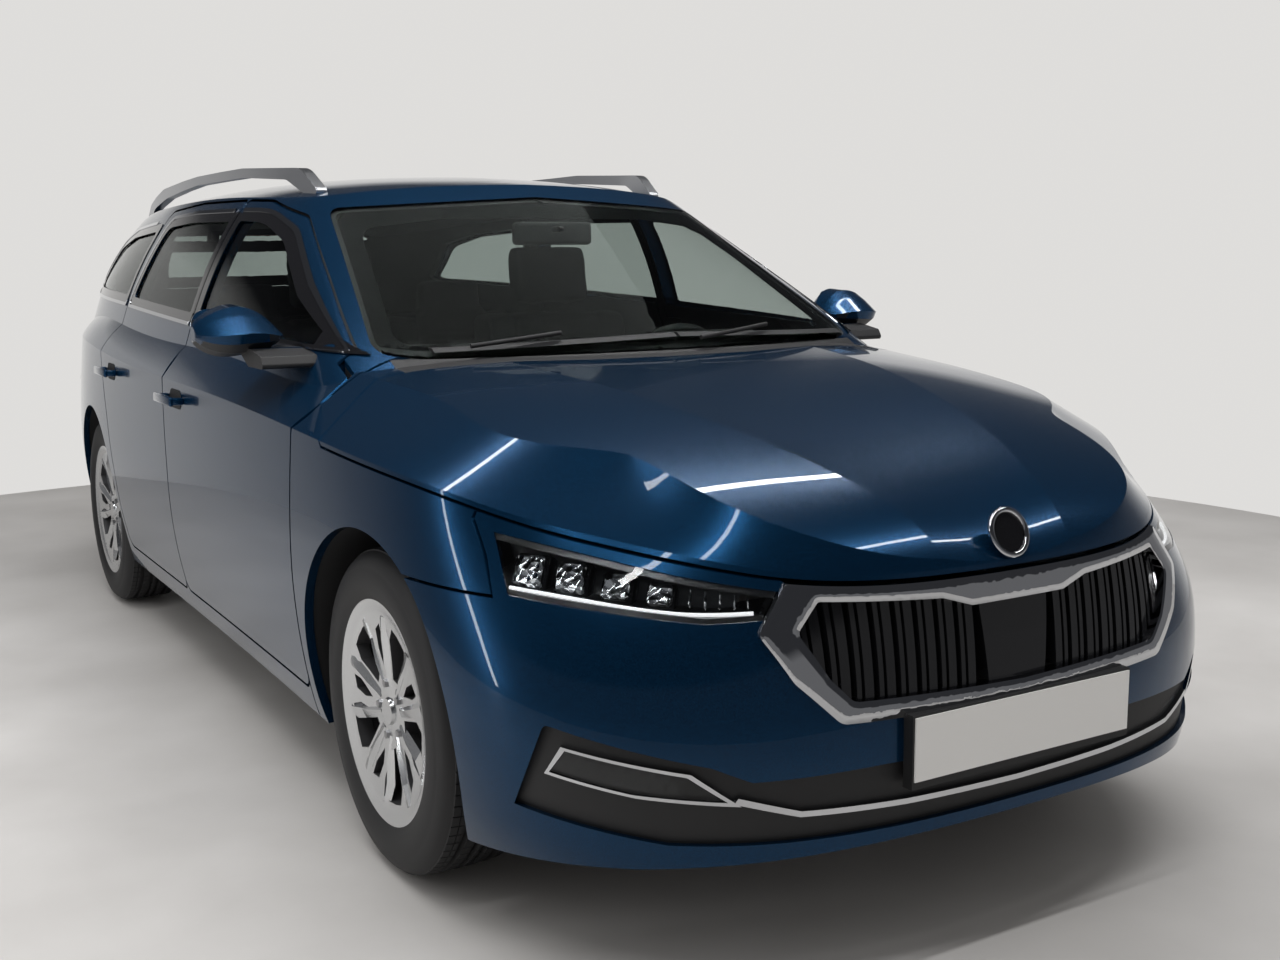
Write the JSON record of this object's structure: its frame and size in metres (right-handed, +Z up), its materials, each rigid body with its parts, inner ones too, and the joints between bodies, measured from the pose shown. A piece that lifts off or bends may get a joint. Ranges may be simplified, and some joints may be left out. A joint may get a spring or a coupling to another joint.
{
  "type": "station wagon",
  "caption": "Full-size station wagon with raised roof rails, a framed front grille, hinged doors, bonnet and tailgate, steered front wheels and a hollow furnished cabin.",
  "frame": {"origin": "on the ground, halfway along the car, in its middle plane", "axes": "+X forward, +Y to the car's left, +Z up"},
  "size_m": [4.6884, 2.003, 1.4799],
  "materials": {
    "paint": "deep blue metallic, high gloss",
    "shell_metal": "dark inner body paint, satin",
    "black_metal": "black, satin",
    "engine_metal": "cast, matt",
    "exhaust_steel": "dull",
    "satin_metal": "satin",
    "bright_trim": "polished",
    "gloss_black": "high gloss",
    "black_plastic": "fine grain",
    "trim_plastic": "soft, grained",
    "plate_white": "blank, smooth",
    "window_glass": "light tint",
    "lamp_glass": "clear",
    "red_lens": "clear red",
    "seat_fabric": "woven, dark",
    "tyre_rubber": "matt",
    "wheel_alloy": "silver lacquer",
    "brake_iron": "turned"
  },
  "bodies": {
    "body": {"front_suspension": "black_metal", "rear_axle": "black_metal", "body_shell": "shell_metal", "front_frame": "shell_metal", "engine_block": "engine_metal", "exhaust": "exhaust_steel", "fuel_tank": "black_plastic", "front_seats": "seat_fabric", "rear_bench": "seat_fabric", "dashboard": "trim_plastic", "roof_rails": "satin_metal", "front_plate": "plate_white", "lower_grille": "black_plastic", "plate_holder": "black_plastic", "wipers": "black_plastic", "front_bumper": "paint", "grille_frame": "bright_trim", "grille_slats": "gloss_black", "front_trim": "bright_trim", "cowl_panel": "black_plastic", "windscreen": "window_glass", "rear_bumper": "paint", "roof_panel": "paint", "headlamp_lenses": "lamp_glass", "headlamp_housings": "gloss_black", "fog_lamps": "lamp_glass", "front_wings": "paint", "quarter_windows": "window_glass", "side_panels": "paint", "tail_lamps": "red_lens"},
    "bonnet_lid": {"bonnet": "paint"},
    "tailgate_lid": {"tailgate": "paint", "tailgate_window": "window_glass", "tailgate_lamps": "red_lens", "rear_plate": "plate_white"},
    "steering_wheel_turn": {"steering_wheel": "trim_plastic"},
    "door_front_left": {"front_door_left": "paint", "front_door_window_left": "window_glass", "mirror_left": "paint"},
    "door_rear_left": {"rear_door_left": "paint", "rear_door_window_left": "window_glass"},
    "steering_knuckle_left": {"knuckle_left": "black_metal"},
    "door_front_right": {"front_door_right": "paint", "front_door_window_right": "window_glass", "mirror_right": "paint"},
    "door_rear_right": {"rear_door_right": "paint", "rear_door_window_right": "window_glass"},
    "steering_knuckle_right": {"knuckle_right": "black_metal"},
    "wheel_front_left": {"tyre_front_left": "tyre_rubber", "rim_front_left": "wheel_alloy", "brake_disc_front_left": "brake_iron"},
    "wheel_front_right": {"tyre_front_right": "tyre_rubber", "rim_front_right": "wheel_alloy", "brake_disc_front_right": "brake_iron"},
    "wheel_rear_left": {"tyre_rear_left": "tyre_rubber", "rim_rear_left": "wheel_alloy", "brake_disc_rear_left": "brake_iron"},
    "wheel_rear_right": {"tyre_rear_right": "tyre_rubber", "rim_rear_right": "wheel_alloy", "brake_disc_rear_right": "brake_iron"}
  },
  "joints": [
    {"name": "bonnet_hinge", "type": "hinge", "parent": "body", "child": "bonnet_lid", "pos_m": [1.09, 0, 0.94], "axis": [0, -1, 0], "range_deg": [0, 50]},
    {"name": "tailgate_hinge", "type": "hinge", "parent": "body", "child": "tailgate_lid", "pos_m": [-2.035, 0, 1.32708], "axis": [0, 1, 0], "range_deg": [0, 75]},
    {"name": "steering_wheel_spin", "type": "hinge", "parent": "body", "child": "steering_wheel_turn", "pos_m": [0.56, 0.37, 0.845], "axis": [-0.9063, 0, 0.4226], "range_deg": [-462, 462]},
    {"name": "front_door_left_hinge", "type": "hinge", "parent": "body", "child": "door_front_left", "pos_m": [1.00425, 0.881, 0.65], "axis": [0, 0, -1], "range_deg": [0, 60]},
    {"name": "rear_door_left_hinge", "type": "hinge", "parent": "body", "child": "door_rear_left", "pos_m": [-0.11475, 0.881, 0.65], "axis": [0, 0, -1], "range_deg": [0, 65]},
    {"name": "front_door_right_hinge", "type": "hinge", "parent": "body", "child": "door_front_right", "pos_m": [1.00425, -0.881, 0.65], "axis": [0, 0, 1], "range_deg": [0, 60]},
    {"name": "rear_door_right_hinge", "type": "hinge", "parent": "body", "child": "door_rear_right", "pos_m": [-0.11475, -0.881, 0.65], "axis": [0, 0, 1], "range_deg": [0, 65]},
    {"name": "steer_left", "type": "hinge", "parent": "body", "child": "steering_knuckle_left", "pos_m": [1.4595, 0.7315, 0.3286], "axis": [0, 0, 1], "range_deg": [-33, 33]},
    {"name": "steer_right", "type": "hinge", "parent": "body", "child": "steering_knuckle_right", "pos_m": [1.4595, -0.7315, 0.3286], "axis": [0, 0, 1], "range_deg": [-33, 33]},
    {"name": "front_left_wheel_spin", "type": "hinge", "parent": "steering_knuckle_left", "child": "wheel_front_left", "pos_m": [1.4595, 0.7715, 0.3286], "axis": [0, 1, 0], "continuous": true},
    {"name": "rear_left_wheel_spin", "type": "hinge", "parent": "body", "child": "wheel_rear_left", "pos_m": [-1.2265, 0.7675, 0.3286], "axis": [0, 1, 0], "continuous": true},
    {"name": "front_right_wheel_spin", "type": "hinge", "parent": "steering_knuckle_right", "child": "wheel_front_right", "pos_m": [1.4595, -0.7715, 0.3286], "axis": [0, 1, 0], "continuous": true},
    {"name": "rear_right_wheel_spin", "type": "hinge", "parent": "body", "child": "wheel_rear_right", "pos_m": [-1.2265, -0.7675, 0.3286], "axis": [0, 1, 0], "continuous": true}
  ],
  "couplings": [
    {"joint": "steer_right", "follows": "steer_left", "ratio": 1},
    {"joint": "steering_wheel_spin", "follows": "steer_left", "ratio": 14}
  ]
}
